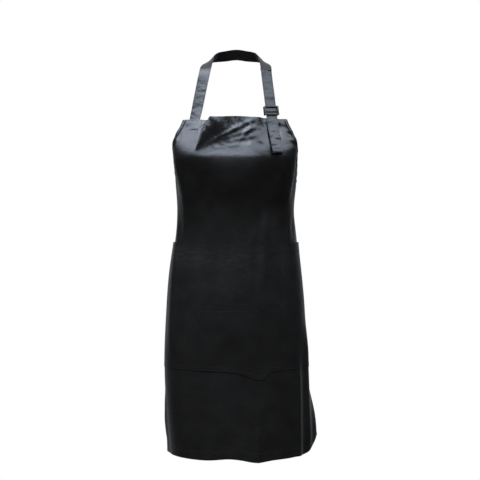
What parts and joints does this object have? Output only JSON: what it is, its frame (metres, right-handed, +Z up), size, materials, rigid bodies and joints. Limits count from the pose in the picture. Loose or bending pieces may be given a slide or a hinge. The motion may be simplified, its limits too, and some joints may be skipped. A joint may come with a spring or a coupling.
{
  "type": "bib apron",
  "caption": "Black satin bib apron in its worn shape, with a halter neck strap, a sliding strap adjuster, patch pockets and waist ties in a bow.",
  "frame": {"origin": "where the neck strap rests on the nape of the neck, the point that the apron hangs from", "axes": "+Z up, -Y to the wearer's front, +X to the wearer's left, which is the side with the slider"},
  "size_m": [0.3566, 0.2637, 0.9319],
  "materials": {
    "apron_cloth": "black woven satin with a blue-grey sheen",
    "pocket_cloth": "the same black satin",
    "hem_cloth": "the same black satin, turned and stitched",
    "strap_cloth": "folded black satin strap, edge stitched",
    "tie_cloth": "folded black satin tie, edge stitched",
    "thread": "black polyester sewing thread",
    "slider_plastic": "moulded black acetal"
  },
  "bodies": {
    "apron": {"body_panel": "apron_cloth", "bib_top_facing": "hem_cloth", "bottom_hem": "hem_cloth", "pocket_rear": "pocket_cloth", "pocket_rear_hem": "hem_cloth", "pocket_front": "pocket_cloth", "pocket_front_hem": "hem_cloth", "bow_knot": "tie_cloth", "strap_left_run": "strap_cloth", "strap_shoulder_right": "strap_cloth", "slider_tab": "strap_cloth", "bartack_strap": "thread", "bartack_tab": "thread", "armhole_binding_left": "hem_cloth", "side_hem_left": "hem_cloth", "bow_loop_left": "tie_cloth", "waist_tie_left": "tie_cloth", "bartack_tie_left": "thread", "bartack_rear_pocket_left": "thread", "bartack_front_pocket_left": "thread", "armhole_binding_right": "hem_cloth", "side_hem_right": "hem_cloth", "bow_loop_right": "tie_cloth", "waist_tie_right": "tie_cloth", "bartack_tie_right": "thread", "bartack_rear_pocket_right": "thread", "bartack_front_pocket_right": "thread"},
    "neck_loop": {"neck_loop": "strap_cloth"},
    "strap_run": {"strap_adjustable_run": "strap_cloth", "strap_end_fold": "strap_cloth"},
    "slider": {"slider": "slider_plastic"},
    "tie_tail_left": {"tie_tail_left": "tie_cloth"},
    "tie_tail_right": {"tie_tail_right": "tie_cloth"}
  },
  "joints": [
    {"name": "neck_loop_lift", "type": "hinge", "parent": "apron", "child": "neck_loop", "pos_m": [0, -0.13647, -0.05744], "axis": [1, 0, 0], "range_deg": [0, 150]},
    {"name": "strap_adjust", "type": "slide", "parent": "apron", "child": "strap_run", "axis": [0.1073, -0.1831, -0.9772], "range_m": [-0.02, 0.012]},
    {"name": "slider_tilt", "type": "hinge", "parent": "apron", "child": "slider", "pos_m": [0.07681, -0.15228, -0.15063], "axis": [0.9444, 0.3259, 0.0427], "range_deg": [-5, 5]},
    {"name": "tie_tail_left_swing", "type": "hinge", "parent": "apron", "child": "tie_tail_left", "pos_m": [-0.0135, 0.0345, -0.3785], "axis": [1, 0, 0], "range_deg": [0, 50]},
    {"name": "tie_tail_right_swing", "type": "hinge", "parent": "apron", "child": "tie_tail_right", "pos_m": [0.0135, 0.0345, -0.3785], "axis": [1, 0, 0], "range_deg": [0, 50]}
  ]
}
